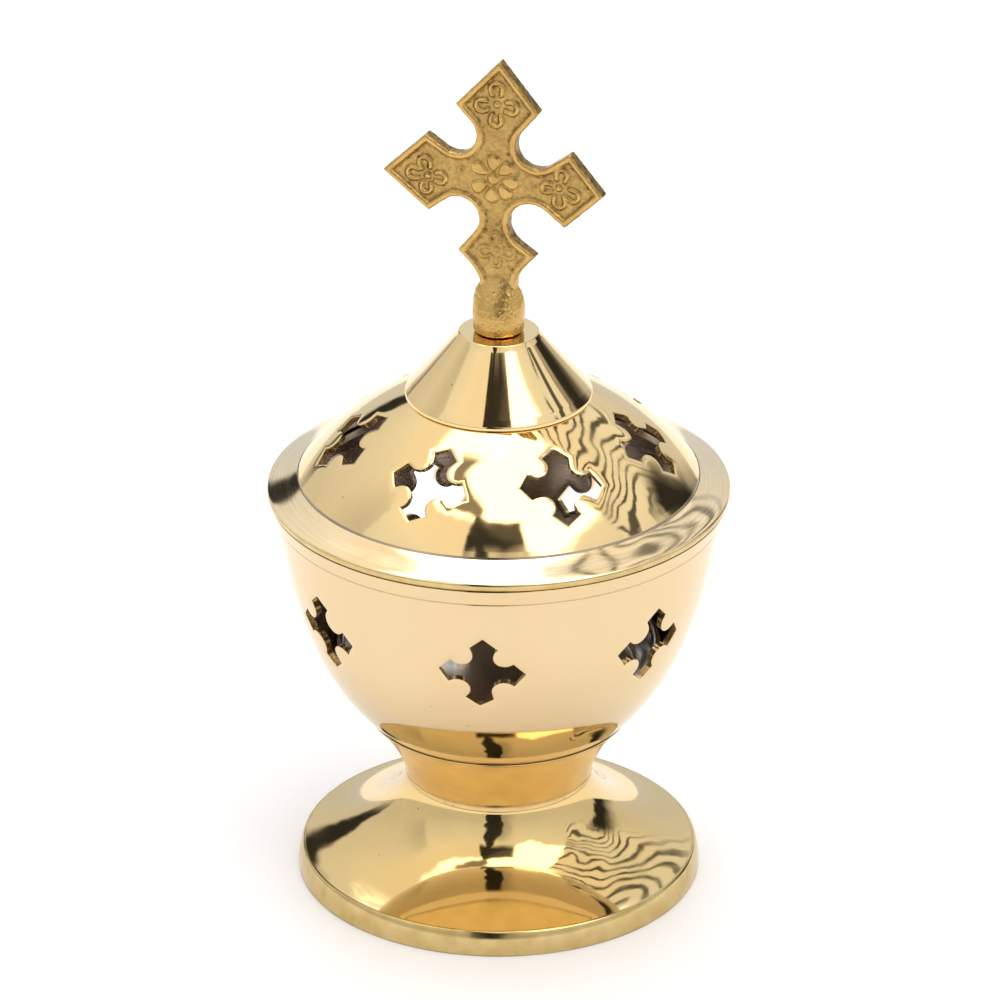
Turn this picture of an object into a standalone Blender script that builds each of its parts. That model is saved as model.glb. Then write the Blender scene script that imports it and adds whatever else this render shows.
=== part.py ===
"""A standing table censer: a pierced bowl on a round foot, and a lift-off lid with a cross.

The origin is the middle of the foot's underside, +Z is up and the front faces -Y.
Lengths are in metres, so every size below is a number of millimetres times MM.
"""
import bpy
import bmesh
from math import acos, atan2, cos, hypot, pi, radians, sin, sqrt, tau
from mathutils import Matrix, Vector

MM = 0.001
SEGMENTS = 48                    # round the large turned pieces
SMALL_SEGMENTS = 24              # round screws, nuts and washers
GAP = 0.3 * MM                   # kept between pieces that touch

# Outside sizes
FOOT_RADIUS = 37.6 * MM
RIM_RADIUS = 42.5 * MM

# Heights of the joints between the pieces
FOOT_TOP = 19.1 * MM
COLLAR_TOP = 32.6 * MM
BOWL_RIM = 76.7 * MM
DOME_SEAT = 80.6 * MM            # the dome's edge, on the brim's slope
CAP_TOP = 108.9 * MM

# Radii that the pieces share
NECK_RADIUS = 17.4 * MM
BOWL_FLOOR_RADIUS = 24.5 * MM
BOWL_MOUTH_RADIUS = 42.15 * MM
DOME_RADIUS = 36.8 * MM
CAP_RADIUS = 17.2 * MM

# Walls
FOOT_WALL = 1.4 * MM
COLLAR_WALL = 1.6 * MM
BOWL_WALL = 1.4 * MM
DOME_WALL = 1.3 * MM
CAP_WALL = 1.2 * MM
PAN_WALL = 0.9 * MM

# The dome is part of a sphere turned about an axis beside its centre
DOME_SPHERE = 53.5 * MM
DOME_OFFSET = 5.4 * MM
DOME_SKIRT = 2.0 * MM            # upright edge below the curve, inside the brim

# M5 fasteners
THREAD_RADIUS = 2.5 * MM
BORE_RADIUS = 2.8 * MM
WASHER_RADIUS = 6.0 * MM
WASHER_HEIGHT = 1.0 * MM
SPRING_RADIUS = 4.6 * MM
SPRING_HEIGHT = 1.2 * MM
NUT_FLATS = 8.0 * MM
NUT_HEIGHT = 4.0 * MM
THREAD_END = 1.0 * MM            # of the thread past its nut
HEAD_RADIUS = 4.75 * MM
HEAD_HEIGHT = 3.0 * MM
HEAD_WASHER_RADIUS = 7.5 * MM

# Sawn crosses in the bowl and the dome
CROSS_COUNT = 7
CROSS_TIP = 8.0 * MM             # centre to the point of an arm
CROSS_CORNER = (5.9 * MM, 2.6 * MM)
CROSS_NOTCH = 4.0 * MM           # centre of the round notch between two arms, along and across
CROSS_NOTCH_RADIUS = 2.36 * MM
BOWL_CROSS_HEIGHT = 58.1 * MM
BOWL_CROSS_TURN = radians(-4.8)
DOME_CROSS_RADIUS = 27.6 * MM    # out from the axis
DOME_CROSS_TURN = radians(-27.2)
DOME_CROSS_TWIST = radians(9)    # clockwise about its own middle, seen from outside
GROOVE_DROP = 3.0 * MM           # from the bowl's rim to its turned groove
GROOVE_WIDTH = 0.5 * MM
GROOVE_DEPTH = 0.35 * MM

# The cast cross. Its corners are (across, up) from its middle, seen from the front, and down each
# side from the top arm to the neck. Its notches are (across, up, radius). The casting is uneven.
FINIAL_CENTRE = 138.0 * MM
FINIAL_TURN = radians(-19)
FINIAL_THICKNESS = 2.4 * MM
FINIAL_EDGE = 0.3 * MM
FINIAL_TOP_TIP = (0.45, 23.4)
FINIAL_RIGHT_CORNERS = ((7.9, 14.4), (13.7, 7.4), (20.0, 0.0), (12.7, -7.0), (7.3, -13.4), (3.5, -18.9))
FINIAL_RIGHT_NOTCHES = ((7.4, 7.6, 3.9), (6.4, -7.6, 4.3))
FINIAL_LEFT_CORNERS = ((7.9, 14.3), (13.5, 7.8), (21.8, -0.2), (13.1, -7.0), (7.5, -13.9), (3.3, -19.6))
FINIAL_LEFT_NOTCHES = ((7.8, 8.7, 3.8), (7.4, -7.5, 3.9))
KNOB_RADIUS = 4.8 * MM

# Loose charcoal pan
PAN_FLOOR = 39.9 * MM
PAN_HEIGHT = 6.5 * MM
PAN_FLOOR_RADIUS = 26.5 * MM
PAN_RIM_RADIUS = 30.0 * MM


def make_collection(name):
    collection = bpy.data.collections.new(name)
    bpy.context.scene.collection.children.link(collection)
    return collection


def make_material(name, colour, roughness, metallic=1.0):
    material = bpy.data.materials.new(name)
    material.use_nodes = True
    shader = material.node_tree.nodes["Principled BSDF"]
    shader.inputs["Base Color"].default_value = (*colour, 1.0)
    shader.inputs["Roughness"].default_value = roughness
    shader.inputs["Metallic"].default_value = metallic
    return material


# ---------------------------------------------------------------- outlines

def bezier(start, lead, trail, end, steps):
    """Points along a cubic curve, both ends included."""
    points = []
    for step in range(steps + 1):
        t = step / steps
        weights = ((1 - t) ** 3, 3 * t * (1 - t) ** 2, 3 * t * t * (1 - t), t ** 3)
        corners = (start, lead, trail, end)
        points.append(tuple(sum(w * p[axis] for w, p in zip(weights, corners)) for axis in (0, 1)))
    return points


def arc(centre, radius, start, end, steps):
    """Points along a round stretch, both ends included, angles in radians."""
    points = []
    for step in range(steps + 1):
        angle = start + (end - start) * step / steps
        points.append((centre[0] + radius * cos(angle), centre[1] + radius * sin(angle)))
    return points


def offset(points, distance):
    """The line beside a profile that runs top to bottom, on the axis side of it."""
    result = []
    for index, point in enumerate(points):
        normals = []
        for first, second in ((index - 1, index), (index, index + 1)):
            if first < 0 or second >= len(points):
                continue
            along = Vector(points[second]) - Vector(points[first])
            normals.append(Vector((along.y, -along.x)).normalized())
        middle = sum(normals, Vector((0.0, 0.0))).normalized()
        reach = distance / middle.dot(normals[0])
        result.append((point[0] + middle.x * reach, point[1] + middle.y * reach))
    return result


def shell_outline(points, wall):
    """Closed section of a turned sheet: down its outside, then up its inside.

    Each end is cut square to the axes: level where the wall is upright, upright where it lies flat.
    """
    inside = offset(points, wall)
    for end in (0, -1):
        (outer_r, outer_z), (inner_r, inner_z) = points[end], inside[end]
        upright = abs(outer_r - inner_r) > abs(outer_z - inner_z)
        inside[end] = (inner_r, outer_z) if upright else (outer_r, inner_z)
    return points + inside[::-1]


def notch(centre, radius, first, last, steps=5):
    """A concave round notch between two corners, met by lines that touch the circle."""
    angles = []
    for corner, side in ((first, 1), (last, -1)):
        reach = (corner[0] - centre[0], corner[1] - centre[1])
        distance = hypot(*reach)
        touch = acos(min(1.0, radius / distance))
        angles.append(atan2(reach[1], reach[0]) + side * touch)
    start, end = angles
    while end < start:
        end += tau
    return [first] + arc(centre, radius, start, end, steps) + [last]


# ---------------------------------------------------------------- making pieces

def make_object(name, mesh, material, collection):
    thing = bpy.data.objects.new(name, mesh)
    collection.objects.link(thing)
    mesh.materials.clear()
    mesh.materials.append(material)
    return thing


def turned(name, outline, material, collection, closed=True, segments=SEGMENTS):
    """A profile in the XZ plane, turned about Z with a Screw modifier."""
    mesh = bpy.data.meshes.new(name)
    count = len(outline)
    edges = [(i, (i + 1) % count) for i in range(count if closed else count - 1)]
    mesh.from_pydata([(r, 0.0, z) for r, z in outline], edges, [])
    thing = make_object(name, mesh, material, collection)
    screw = thing.modifiers.new("turn", "SCREW")
    screw.steps = segments
    screw.render_steps = segments
    screw.use_merge_vertices = True
    screw.merge_threshold = 1e-6
    screw.use_smooth_shade = True
    return thing


def washer(name, radius, bore, low, height, material, collection):
    section = [(radius, low + height), (radius, low), (bore, low), (bore, low + height)]
    return turned(name, section, material, collection, segments=SMALL_SEGMENTS)


def flat_shape(name, outline, thickness, material, collection):
    """A flat outline in the XZ plane, extruded evenly about it along Y, as a mesh."""
    curve = bpy.data.curves.new(name, "CURVE")
    curve.dimensions = "2D"
    curve.fill_mode = "BOTH"
    curve.extrude = thickness / 2
    spline = curve.splines.new("POLY")
    spline.points.add(len(outline) - 1)
    for point, (x, y) in zip(spline.points, outline):
        point.co = (x, y, 0.0, 1.0)
    spline.use_cyclic_u = True
    guide = bpy.data.objects.new(name + "_outline", curve)
    guide.rotation_euler = (pi / 2, 0.0, 0.0)
    collection.objects.link(guide)
    bpy.context.view_layer.update()
    mesh = bpy.data.meshes.new_from_object(guide.evaluated_get(bpy.context.evaluated_depsgraph_get()))
    mesh.transform(guide.matrix_world)
    bpy.data.objects.remove(guide)
    body = bmesh.new()
    body.from_mesh(mesh)
    bmesh.ops.remove_doubles(body, verts=body.verts, dist=1e-6)
    bmesh.ops.recalc_face_normals(body, faces=body.faces)
    body.to_mesh(mesh)
    body.free()
    return make_object(name, mesh, material, collection)


def combine(target, other, operation):
    modifier = target.modifiers.new(operation.lower(), "BOOLEAN")
    modifier.operation = operation
    modifier.object = other
    return modifier


def hide_tool(tool):
    tool.hide_render = True
    tool.display_type = "WIRE"


# ---------------------------------------------------------------- turned profiles
# Each runs from its top, down the outside, as (radius, height).

def foot_profile():
    top = (NECK_RADIUS, FOOT_TOP)
    brow = (36.4 * MM, 4.7 * MM)
    flare = bezier(top, (18.9 * MM, 12.6 * MM), (27.1 * MM, 6.7 * MM), brow, 7)
    edge = [(36.95 * MM, 4.1 * MM), (FOOT_RADIUS, 0.0)]
    return [(BORE_RADIUS, FOOT_TOP)] + flare + edge


def collar_profile():
    shoulder = (BOWL_FLOOR_RADIUS - 0.1 * MM, COLLAR_TOP)
    base = (NECK_RADIUS, FOOT_TOP + GAP)
    side = bezier(shoulder, (19.6 * MM, 27.2 * MM), (17.2 * MM, 21.6 * MM), base, 6)
    return [(BORE_RADIUS, COLLAR_TOP)] + side


def bowl_profile():
    floor = COLLAR_TOP + GAP
    waist = (38.4 * MM, 60.0 * MM)
    rim = (BOWL_MOUTH_RADIUS, BOWL_RIM)
    upper = bezier(rim, (40.5 * MM, 72.0 * MM), (39.55 * MM, 64.9 * MM), waist, 5)
    lower = bezier(waist, (35.5 * MM, 47.9 * MM), (31.3 * MM, 39.6 * MM),
                   (BOWL_FLOOR_RADIUS, floor), 6)
    return upper + lower[1:] + [(BORE_RADIUS, floor)]


def cut_groove(profile, height):
    """A profile with a turned V groove in it, round the wall at a height."""
    radii = [wall_point(profile, height + rise)[0] for rise in (GROOVE_WIDTH / 2, 0.0, -GROOVE_WIDTH / 2)]
    groove = [(radii[0], height + GROOVE_WIDTH / 2), (radii[1] - GROOVE_DEPTH, height),
              (radii[2], height - GROOVE_WIDTH / 2)]
    above = [point for point in profile if point[1] > height + GROOVE_WIDTH / 2]
    below = [point for point in profile if point[1] < height - GROOVE_WIDTH / 2]
    return above + groove + below


def bowl_outline():
    """Closed section of the bowl, with its groove on the outside only."""
    plain = shell_outline(bowl_profile(), BOWL_WALL)
    outside = len(bowl_profile())
    return cut_groove(plain[:outside], BOWL_RIM - GROOVE_DROP) + plain[outside:]


def dome_height(radius):
    centre = DOME_SEAT - sqrt(DOME_SPHERE ** 2 - (DOME_RADIUS + DOME_OFFSET) ** 2)
    return centre + sqrt(DOME_SPHERE ** 2 - (radius + DOME_OFFSET) ** 2)


def dome_profile():
    rings = 9
    step = (DOME_RADIUS - BORE_RADIUS) / rings
    radii = [BORE_RADIUS + step * ring for ring in range(rings + 1)]
    crown = [(radius, dome_height(radius)) for radius in radii]
    return crown + [(DOME_RADIUS, DOME_SEAT - DOME_SKIRT)]


def brim_outline():
    """Closed section of the brim: slope, edge, seat on the bowl, spigot, ledge for the dome."""
    inner = DOME_RADIUS + GAP
    seat = BOWL_RIM + GAP
    spigot = 39.6 * MM
    spigot_end = BOWL_RIM - 2.3 * MM
    spigot_inner = spigot - 1.2 * MM
    ledge = DOME_SEAT - DOME_SKIRT - GAP
    ledge_inner = DOME_RADIUS - 2.0 * MM
    slope = bezier((inner, DOME_SEAT), (38.6 * MM, 79.7 * MM), (41.0 * MM, 78.9 * MM),
                   (42.25 * MM, 78.3 * MM), 4)
    edge = [(RIM_RADIUS, 77.95 * MM), (RIM_RADIUS, 77.6 * MM), (BOWL_MOUTH_RADIUS, seat)]
    under = [(spigot, seat), (spigot, spigot_end), (spigot_inner, spigot_end),
             (spigot_inner, seat), (ledge_inner, seat), (ledge_inner, ledge), (inner, ledge)]
    return slope + edge + under


def cap_outline():
    """Closed section of the bell-shaped cap, whose lower edge follows the dome."""
    crown = [(BORE_RADIUS, CAP_TOP), (7.0 * MM, CAP_TOP), (7.5 * MM, CAP_TOP - 0.5 * MM)]
    foot = (CAP_RADIUS, dome_height(CAP_RADIUS) + GAP)
    side = bezier(crown[-1], (10.6 * MM, 104.6 * MM), (14.0 * MM, 100.6 * MM),
                  (16.2 * MM, 98.2 * MM), 4)
    outside = crown + side[1:]
    inside = offset(outside, CAP_WALL)[::-1]
    inside[-1] = (BORE_RADIUS, inside[-1][1])
    inner = CAP_RADIUS - CAP_WALL
    lip = [(17.0 * MM, 97.2 * MM), foot, (inner, dome_height(inner) + GAP)]
    return outside + lip + inside


def pan_outline():
    """Closed section of the pan, whose floor crosses the axis, from its middle out and back."""
    rim = PAN_FLOOR + PAN_HEIGHT
    inner_floor = PAN_FLOOR_RADIUS - 0.6 * MM
    return [(0.0, PAN_FLOOR + PAN_WALL), (inner_floor, PAN_FLOOR + PAN_WALL),
            (PAN_RIM_RADIUS - PAN_WALL, rim), (PAN_RIM_RADIUS, rim),
            (PAN_FLOOR_RADIUS + 0.3 * MM, PAN_FLOOR + 0.3 * MM),
            (PAN_FLOOR_RADIUS, PAN_FLOOR), (0.0, PAN_FLOOR)]


# ---------------------------------------------------------------- sawn crosses

def small_cross():
    """Outline of one sawn cross: pointed arms with round notches between them."""
    along, across = CROSS_CORNER
    outline = []
    for quarter in range(4):
        turn = Matrix.Rotation(-quarter * pi / 2, 2)
        side = notch((CROSS_NOTCH, CROSS_NOTCH), CROSS_NOTCH_RADIUS, (across, along), (along, across), 4)
        outline += [turn @ Vector(point) for point in [(0.0, CROSS_TIP)] + side]
    return outline[::-1]


def wall_point(profile, height):
    """Radius of a turned wall at a height, and how far its outward normal points up."""
    for upper, lower in zip(profile, profile[1:]):
        if lower[1] <= height <= upper[1]:
            share = (upper[1] - height) / (upper[1] - lower[1])
            radius = upper[0] + (lower[0] - upper[0]) * share
            return radius, atan2(lower[0] - upper[0], upper[1] - lower[1])
    raise ValueError("height is outside the profile")


def cross_cutters(name, radius, height, tilt, twist, first_turn, depth, collection, material):
    """Cutters through a wall, one for each sawn cross, joined in one object."""
    joined = bmesh.new()
    pattern = flat_shape(name, small_cross(), depth, material, collection)
    pattern.data.transform(Matrix.Rotation(twist, 4, "Y"))
    for index in range(CROSS_COUNT):
        piece = pattern.data.copy()
        place = (Matrix.Rotation(first_turn + index * tau / CROSS_COUNT, 4, "Z")
                 @ Matrix.Translation((0.0, -radius, height)) @ Matrix.Rotation(-tilt, 4, "X"))
        piece.transform(place)
        joined.from_mesh(piece)
        bpy.data.meshes.remove(piece)
    joined.to_mesh(pattern.data)
    joined.free()
    hide_tool(pattern)
    return pattern


# ---------------------------------------------------------------- fasteners

def hexagon_nut(name, top, material, collection, tools):
    nut = turned(name, [(BORE_RADIUS, top), (5.2 * MM, top), (5.2 * MM, top - NUT_HEIGHT),
                        (BORE_RADIUS, top - NUT_HEIGHT)], material, collection, segments=SMALL_SEGMENTS)
    flats = bmesh.new()
    bmesh.ops.create_cone(flats, cap_ends=True, segments=6, radius1=NUT_FLATS / sqrt(3),
                          radius2=NUT_FLATS / sqrt(3), depth=2 * NUT_HEIGHT)
    mesh = bpy.data.meshes.new(name + "_flats")
    flats.to_mesh(mesh)
    flats.free()
    tool = make_object(name + "_flats", mesh, material, tools)
    tool.location.z = top - NUT_HEIGHT / 2
    hide_tool(tool)
    combine(nut, tool, "INTERSECT")
    return nut


def box_tool(name, size, centre, material, tools):
    block = bmesh.new()
    bmesh.ops.create_cube(block, size=1.0)
    bmesh.ops.scale(block, vec=size, verts=block.verts)
    mesh = bpy.data.meshes.new(name)
    block.to_mesh(mesh)
    block.free()
    tool = make_object(name, mesh, material, tools)
    tool.location = centre
    hide_tool(tool)
    return tool


def spring_washer(name, top, material, collection, tools):
    ring = washer(name, SPRING_RADIUS, BORE_RADIUS, top - SPRING_HEIGHT, SPRING_HEIGHT,
                  material, collection)
    split = box_tool(name + "_split", (4.0 * MM, 0.9 * MM, 4.0 * MM),
                     (3.7 * MM, 0.0, top - SPRING_HEIGHT / 2), material, tools)
    combine(ring, split, "DIFFERENCE")
    return ring


def slotted_screw(name, under_head, end, material, collection, tools):
    head_top = under_head + HEAD_HEIGHT
    profile = [(0.0, head_top), (3.3 * MM, head_top - 0.1 * MM), (4.4 * MM, head_top - 0.7 * MM),
               (HEAD_RADIUS, head_top - 1.6 * MM), (HEAD_RADIUS, under_head), (THREAD_RADIUS, under_head),
               (THREAD_RADIUS, end + 0.6 * MM), (THREAD_RADIUS - 0.6 * MM, end), (0.0, end)]
    screw = turned(name, profile, material, collection, closed=False, segments=SMALL_SEGMENTS)
    slot = box_tool(name + "_slot", (12.0 * MM, 1.2 * MM, 2.6 * MM), (0.0, 0.0, head_top),
                    material, tools)
    combine(screw, slot, "DIFFERENCE")
    return screw


# ---------------------------------------------------------------- the cast cross

def finial_side(corners, notches):
    """Outline down one side of the cast cross, as if it were the right one, in metres."""
    top, arm_top, tip, arm_low, low, neck = [(x * MM, y * MM) for x, y in corners]
    (upper, upper_radius), (lower, lower_radius) = [((x * MM, y * MM), r * MM) for x, y, r in notches]
    drop = low[1] - neck[1]
    leave = (low[0] - 0.35 * drop, low[1] - 0.35 * drop)
    arrive = (neck[0] + 0.1 * drop, neck[1] + 0.4 * drop)
    throat = bezier(low, leave, arrive, neck, 4)
    root = (neck[0], neck[1] - 3.0 * MM)
    above = notch(upper, upper_radius, top, arm_top)
    below = notch(lower, lower_radius, arm_low, low)
    return above + [tip] + below + throat[1:] + [root]


def finial_outline():
    """Front view of the cast cross about its own middle, down to its root inside the knob."""
    tip = (FINIAL_TOP_TIP[0] * MM, FINIAL_TOP_TIP[1] * MM)
    right = finial_side(FINIAL_RIGHT_CORNERS, FINIAL_RIGHT_NOTCHES)
    left = [(-x, y) for x, y in reversed(finial_side(FINIAL_LEFT_CORNERS, FINIAL_LEFT_NOTCHES))]
    return ([tip] + right + left)[::-1]


def make_finial(name, material, collection, tools, thread_end):
    """Blade, knob and threaded stud of one casting, standing on the cap."""
    blade = flat_shape(name, finial_outline(), FINIAL_THICKNESS, material, collection)
    blade.data.transform(Matrix.Rotation(FINIAL_TURN, 4, "Z"))
    blade.data.transform(Matrix.Translation((0.0, 0.0, FINIAL_CENTRE)))
    edge = blade.modifiers.new("edge", "BEVEL")
    edge.width = FINIAL_EDGE
    edge.segments = 1
    edge.limit_method = "ANGLE"
    edge.angle_limit = radians(60)
    seat = CAP_TOP + GAP
    knob = [(0.0, 118.6 * MM), (2.2 * MM, 118.2 * MM), (3.5 * MM, 117.2 * MM), (4.5 * MM, 115.6 * MM),
            (KNOB_RADIUS, 114.0 * MM), (KNOB_RADIUS, 111.2 * MM), (4.4 * MM, seat + 0.4 * MM),
            (4.1 * MM, seat), (THREAD_RADIUS, seat), (THREAD_RADIUS, thread_end + 0.6 * MM),
            (THREAD_RADIUS - 0.6 * MM, thread_end), (0.0, thread_end)]
    stem = turned(name + "_stem", knob, material, tools, closed=False, segments=SMALL_SEGMENTS)
    hide_tool(stem)
    combine(blade, stem, "UNION")
    return blade


# ---------------------------------------------------------------- assembly

def stack_below(heights):
    """Tops of the pieces stacked under a plate, each a gap below the one above."""
    plate, *pieces = heights
    tops = []
    level = plate
    for height in pieces:
        tops.append(level - GAP)
        level -= GAP + height
    return tops, level


def build():
    for thing in list(bpy.data.objects):
        bpy.data.objects.remove(thing)
    parts = make_collection("table_censer")
    tools = make_collection("cutters")

    polished = make_material("polished_brass", (0.84, 0.65, 0.34), 0.08)
    satin = make_material("satin_brass", (0.72, 0.52, 0.24), 0.28)
    cast = make_material("cast_brass", (0.58, 0.38, 0.13), 0.42)
    steel = make_material("zinc_steel", (0.55, 0.55, 0.56), 0.35)
    pan_steel = make_material("satin_steel", (0.62, 0.60, 0.57), 0.35)

    turned("foot", shell_outline(foot_profile(), FOOT_WALL), polished, parts)
    turned("stem_collar", shell_outline(collar_profile(), COLLAR_WALL), satin, parts)

    bowl = turned("bowl", bowl_outline(), polished, parts)
    radius, tilt = wall_point(bowl_profile(), BOWL_CROSS_HEIGHT)
    bowl_crosses = cross_cutters("bowl_crosses", radius, BOWL_CROSS_HEIGHT, tilt, 0.0,
                                 BOWL_CROSS_TURN, 8 * BOWL_WALL, tools, polished)
    combine(bowl, bowl_crosses, "DIFFERENCE")

    dome = turned("lid_dome", shell_outline(dome_profile(), DOME_WALL), polished, parts)
    height = dome_height(DOME_CROSS_RADIUS)
    tilt = acos((DOME_CROSS_RADIUS + DOME_OFFSET) / DOME_SPHERE)
    dome_crosses = cross_cutters("dome_crosses", DOME_CROSS_RADIUS, height, tilt, DOME_CROSS_TWIST,
                                 DOME_CROSS_TURN, 8 * DOME_WALL, tools, polished)
    combine(dome, dome_crosses, "DIFFERENCE")

    turned("lid_brim", brim_outline(), polished, parts)
    turned("lid_cap", cap_outline(), polished, parts, segments=SEGMENTS)
    turned("charcoal_pan", pan_outline(), pan_steel, parts, closed=False)

    # Foot screw: head in the bowl, nut under the foot's top plate
    floor = COLLAR_TOP + GAP + BOWL_WALL
    washer("clamp_washer", HEAD_WASHER_RADIUS, BORE_RADIUS, floor + GAP, WASHER_HEIGHT, steel, parts)
    tops, end = stack_below((FOOT_TOP - FOOT_WALL, WASHER_HEIGHT, SPRING_HEIGHT, NUT_HEIGHT))
    washer("foot_washer", WASHER_RADIUS, BORE_RADIUS, tops[0] - WASHER_HEIGHT, WASHER_HEIGHT,
           steel, parts)
    spring_washer("spring_washer", tops[1], steel, parts, tools)
    hexagon_nut("foot_nut", tops[2], steel, parts, tools)
    slotted_screw("clamp_screw", floor + WASHER_HEIGHT + 2 * GAP, end - THREAD_END, steel, parts, tools)

    # Finial stud: through the cap and the dome, nut under the dome
    ceiling = dome_height(WASHER_RADIUS) - 1.1 * DOME_WALL
    tops, end = stack_below((ceiling, WASHER_HEIGHT, SPRING_HEIGHT, NUT_HEIGHT))
    washer("finial_washer", WASHER_RADIUS, BORE_RADIUS, tops[0] - WASHER_HEIGHT, WASHER_HEIGHT,
           steel, parts)
    spring_washer("finial_spring_washer", tops[1], steel, parts, tools)
    hexagon_nut("finial_nut", tops[2], steel, parts, tools)
    make_finial("cross_finial", cast, parts, tools, end - THREAD_END)


build()
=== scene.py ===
import random
from math import acos, atan2, cos, exp, hypot, pi, radians, sin, sqrt, tau

import bmesh
import bpy
import numpy as np
from mathutils import Matrix, Vector
from mathutils.geometry import delaunay_2d_cdt


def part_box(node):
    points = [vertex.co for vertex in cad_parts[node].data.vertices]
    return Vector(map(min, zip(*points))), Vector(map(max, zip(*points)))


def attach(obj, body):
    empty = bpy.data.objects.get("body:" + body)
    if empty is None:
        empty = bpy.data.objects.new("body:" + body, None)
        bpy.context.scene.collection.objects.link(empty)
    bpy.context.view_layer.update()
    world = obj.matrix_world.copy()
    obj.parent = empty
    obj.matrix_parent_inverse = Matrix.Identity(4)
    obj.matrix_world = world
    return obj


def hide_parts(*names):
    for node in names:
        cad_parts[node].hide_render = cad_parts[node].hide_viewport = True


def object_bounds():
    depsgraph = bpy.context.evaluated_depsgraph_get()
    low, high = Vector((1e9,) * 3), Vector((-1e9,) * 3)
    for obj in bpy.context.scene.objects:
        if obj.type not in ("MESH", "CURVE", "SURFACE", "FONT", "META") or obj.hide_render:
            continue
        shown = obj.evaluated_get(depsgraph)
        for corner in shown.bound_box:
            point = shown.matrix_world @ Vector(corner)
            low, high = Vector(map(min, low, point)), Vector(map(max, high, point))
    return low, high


# Looks of the standing table censer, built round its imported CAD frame.
# Lengths are in millimetres until a mesh is made, where MM turns them into metres.

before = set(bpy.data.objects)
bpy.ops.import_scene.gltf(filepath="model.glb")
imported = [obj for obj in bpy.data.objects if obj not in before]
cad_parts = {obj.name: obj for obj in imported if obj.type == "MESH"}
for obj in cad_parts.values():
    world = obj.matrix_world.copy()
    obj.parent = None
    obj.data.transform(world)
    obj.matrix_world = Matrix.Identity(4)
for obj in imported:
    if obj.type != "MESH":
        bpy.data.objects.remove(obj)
cad_low, cad_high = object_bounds()

MM = 0.001
TURNS = 288                      # facets round a large turned piece
SMALL_TURNS = 96                 # facets round a fastener
SOFT_CORNER = radians(40)        # a profile that turns less than this is shaded smooth
FIT = 0.12                       # visible gap between clamped pieces


# ---- sizes from the frame

def extent(node):
    """Outer radius, lowest and highest point of a turned CAD node."""
    low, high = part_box(node)
    return high.x / MM, low.z / MM, high.z / MM


FOOT_RADIUS, _, FOOT_TOP = extent("foot")
COLLAR_RADIUS, COLLAR_LOW, COLLAR_TOP = extent("stem_collar")
BOWL_RADIUS, _, BOWL_RIM = extent("bowl")
_, BRIM_LOW, _ = extent("lid_brim")
DOME_RADIUS, DOME_LOW, _ = extent("lid_dome")
CAP_RADIUS, _, CAP_TOP = extent("lid_cap")
PAN_RADIUS, PAN_LOW, PAN_RIM = extent("charcoal_pan")

NECK_RADIUS = 17.4
BORE = 2.8
WASHER_BORE = 2.7
THREAD_RADIUS = 2.5
FOOT_WALL, COLLAR_WALL, BOWL_WALL, DOME_WALL, CAP_WALL, PAN_WALL = 1.4, 1.6, 1.4, 1.3, 1.2, 0.9
DOME_SPHERE = 53.5               # the dome is part of a sphere turned about an axis beside its centre
DOME_OFFSET = 5.4
CROSS_COUNT = 7


# ---- meshes with exact shading

def unit(vectors):
    """The same vectors, one unit long."""
    return vectors / np.maximum(np.linalg.norm(vectors, axis=-1, keepdims=True), 1e-9)


def beside(flat):
    """Flat directions turned a quarter clockwise."""
    return np.stack([flat[:, 1], -flat[:, 0]], 1)


def circled(wide, deep, height, angles):
    """Points round the Z axis at the angles."""
    return np.stack([wide * np.cos(angles), deep * np.sin(angles), height + 0 * angles], 1)


def new_object(name, mesh, *materials):
    """An object of a mesh, a light or a camera, in the scene."""
    for material in materials:
        mesh.materials.append(material)
    thing = bpy.data.objects.new(name, mesh)
    bpy.context.scene.collection.objects.link(thing)
    return thing


class Skin:
    """Faces gathered with the direction their surface looks at each corner."""

    def __init__(self):
        self.patches = []

    def add(self, points, looks, slot=0):
        """Arrays of faces by corners by 3, in millimetres."""
        self.patches.append((np.asarray(points, float), np.asarray(looks, float), slot))

    def make(self, name, materials):
        corners, looks = (np.concatenate([patch[part].reshape(-1, 3) for patch in self.patches]) for part in (0, 1))
        _, first, index = np.unique(np.round(corners, 4), axis=0, return_index=True, return_inverse=True)
        index = index.ravel().tolist()
        faces, kept, slots = [], [], []
        done = 0
        for points, _, slot in self.patches:
            count, size = points.shape[:2]
            for start in range(done, done + count * size, size):
                face, loop = [], []
                for corner in range(start, start + size):
                    if index[corner] not in face:
                        face.append(index[corner])
                        loop.append(corner)
                if len(face) > 2:
                    faces.append(face)
                    kept += loop
                    slots.append(slot)
            done += count * size
        mesh = bpy.data.meshes.new(name)
        mesh.from_pydata((corners[first] * MM).tolist(), [], faces)
        thing = new_object(name, mesh, *materials)
        mesh.polygons.foreach_set("material_index", np.array(slots, np.int32))
        mesh.polygons.foreach_set("use_smooth", np.ones(len(faces), bool))
        mesh.normals_split_custom_set(unit(looks[kept]).tolist())
        return thing


def bezier(start, lead, trail, end, steps=36):
    """Points along a cubic curve, both ends included."""
    t = np.linspace(0.0, 1.0, steps + 1)[:, None]
    weights = np.hstack([(1 - t) ** 3, 3 * t * (1 - t) ** 2, 3 * t * t * (1 - t), t ** 3])
    return [tuple(point) for point in (weights @ np.array([start, lead, trail, end], float)).tolist()]


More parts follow.
